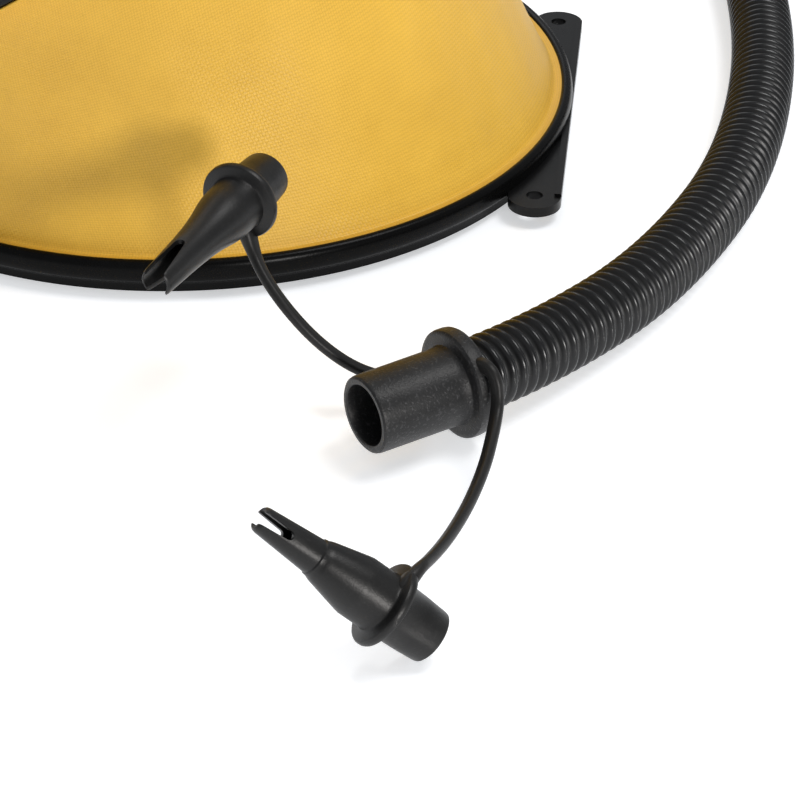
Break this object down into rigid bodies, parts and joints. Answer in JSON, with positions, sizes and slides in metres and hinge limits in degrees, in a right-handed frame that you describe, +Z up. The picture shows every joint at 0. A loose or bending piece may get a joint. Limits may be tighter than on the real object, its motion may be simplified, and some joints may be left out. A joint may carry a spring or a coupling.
{
  "type": "foot air pump",
  "caption": "Hinged foot-operated bellows air pump with a flexible hose, a nozzle and two adapters on rubber straps.",
  "frame": {"origin": "on the floor, midway between the pump's ends without its hose, under the hinge-to-mouth centre line", "axes": "+Z up from the floor, +X from the heel hinge to the mouth of the bellows, +Y towards the outlet side"},
  "size_m": [0.3754, 0.6755, 0.1846],
  "materials": {
    "black_plastic": "fine moulded texture",
    "hose_plastic": "semi-gloss corrugated",
    "soft_black": "matt, fine-grained",
    "yellow_fabric": "coated weave",
    "spring_steel": "drawn wire",
    "zinc_steel": "zinc-plated",
    "black_rubber": "matt rubber"
  },
  "bodies": {
    "base": {"base_plate": "black_plastic", "base_feet": "black_rubber", "hinge_pin": "zinc_steel", "pin_caps": "black_plastic", "outlet_housing": "black_plastic", "inlet_housing": "black_plastic", "outlet_gasket": "black_rubber", "inlet_gasket": "black_rubber", "outlet_valve_seat": "black_plastic", "inlet_valve_seat": "black_plastic", "outlet_flap_pin": "zinc_steel", "inlet_flap_pin": "zinc_steel", "outlet_screws": "zinc_steel", "inlet_screws": "zinc_steel", "base_spring_seat": "zinc_steel", "base_seat_screws": "zinc_steel", "return_spring": "spring_steel", "bellows": "yellow_fabric", "hose": "hose_plastic", "hose_plug": "black_plastic", "nozzle": "soft_black"},
    "pedal": {"top_plate": "black_plastic", "tread_pad": "black_rubber", "pedal_spring_seat": "zinc_steel", "pedal_seat_screws": "zinc_steel"},
    "outlet_flap_body": {"outlet_flap": "black_rubber"},
    "inlet_flap_body": {"inlet_flap": "black_rubber"},
    "slit_adapter_body": {"slit_strap": "soft_black", "slit_adapter": "soft_black"},
    "fork_adapter_body": {"fork_strap": "soft_black", "fork_adapter": "soft_black"}
  },
  "joints": [
    {"name": "pedal_hinge", "type": "hinge", "parent": "base", "child": "pedal", "pos_m": [-0.14, 0, 0.0295], "axis": [0, 1, 0], "range_deg": [0, 30.5], "stiffness_Nm_per_rad": 4, "springref_deg": -20.05, "deforming": ["bellows", "return_spring"]},
    {"name": "outlet_flap_hinge", "type": "hinge", "parent": "base", "child": "outlet_flap_body", "pos_m": [-0.05722, 0.06321, 0.0167], "axis": [-0.7071, -0.7071, 0], "range_deg": [0, 22], "stiffness_Nm_per_rad": 0.002, "springref_deg": -17.19},
    {"name": "inlet_flap_hinge", "type": "hinge", "parent": "base", "child": "inlet_flap_body", "pos_m": [-0.05722, -0.06321, 0.0229], "axis": [-0.7071, 0.7071, 0], "range_deg": [0, 22], "stiffness_Nm_per_rad": 0.002, "springref_deg": -5.73},
    {"name": "slit_adapter_swing", "type": "hinge", "parent": "base", "child": "slit_adapter_body", "pos_m": [0.1112, -0.1897, 0.0099], "axis": [0, 1, 0], "range_deg": [-8, 10], "stiffness_Nm_per_rad": 0.05, "springref_deg": 4.3},
    {"name": "fork_adapter_swing", "type": "hinge", "parent": "base", "child": "fork_adapter_body", "pos_m": [0.1352, -0.2142, 0.0306], "axis": [0, 0, 1], "range_deg": [-12, 12], "stiffness_Nm_per_rad": 0.05}
  ]
}
